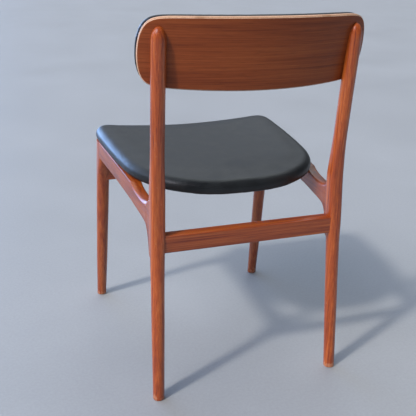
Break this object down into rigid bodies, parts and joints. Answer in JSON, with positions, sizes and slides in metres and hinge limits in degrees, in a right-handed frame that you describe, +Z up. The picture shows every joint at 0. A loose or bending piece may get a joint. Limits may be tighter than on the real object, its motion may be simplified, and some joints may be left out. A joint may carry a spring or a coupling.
{
  "type": "dining chair",
  "caption": "Wooden dining chair with a dished, padded vinyl seat, shaped rear posts and a curved, veneered back with a padded front.",
  "frame": {"origin": "on the floor, under the middle of the chair's bounding box", "axes": "+Z up from the floor, -Y the way the sitter faces, +X to the sitter's left"},
  "size_m": [0.4612, 0.5198, 0.7801],
  "materials": {
    "teak": "oiled, satin",
    "teak_veneer": "oiled, satin",
    "plywood": "bare",
    "beech": "bare",
    "black_vinyl": "grained, semi-gloss",
    "latex_foam": "matte",
    "black_cambric": "matte",
    "zinc_plated_steel": "zinc plated"
  },
  "bodies": {
    "root": {"back_cover": "black_vinyl", "back_foam": "latex_foam", "back_pad_board": "plywood", "back_panel": "teak_veneer", "back_screw_lower_left": "zinc_plated_steel", "back_screw_lower_right": "zinc_plated_steel", "back_screw_upper_left": "zinc_plated_steel", "back_screw_upper_right": "zinc_plated_steel", "front_leg_left": "teak", "front_leg_right": "teak", "front_stretcher": "teak", "front_stretcher_left_dowel_1": "beech", "front_stretcher_left_dowel_2": "beech", "front_stretcher_right_dowel_1": "beech", "front_stretcher_right_dowel_2": "beech", "rear_post_left": "teak", "rear_post_right": "teak", "rear_stretcher": "teak", "rear_stretcher_left_dowel_1": "beech", "rear_stretcher_left_dowel_2": "beech", "rear_stretcher_right_dowel_1": "beech", "rear_stretcher_right_dowel_2": "beech", "seat_board": "plywood", "seat_cover": "black_vinyl", "seat_dust_cover": "black_cambric", "seat_foam": "latex_foam", "seat_screw_front_left": "zinc_plated_steel", "seat_screw_front_right": "zinc_plated_steel", "seat_screw_rear_left": "zinc_plated_steel", "seat_screw_rear_right": "zinc_plated_steel", "side_rail_left": "teak", "side_rail_left_front_dowel_1": "beech", "side_rail_left_front_dowel_2": "beech", "side_rail_left_rear_dowel_1": "beech", "side_rail_left_rear_dowel_2": "beech", "side_rail_right": "teak", "side_rail_right_front_dowel_1": "beech", "side_rail_right_front_dowel_2": "beech", "side_rail_right_rear_dowel_1": "beech", "side_rail_right_rear_dowel_2": "beech"}
  },
  "joints": []
}
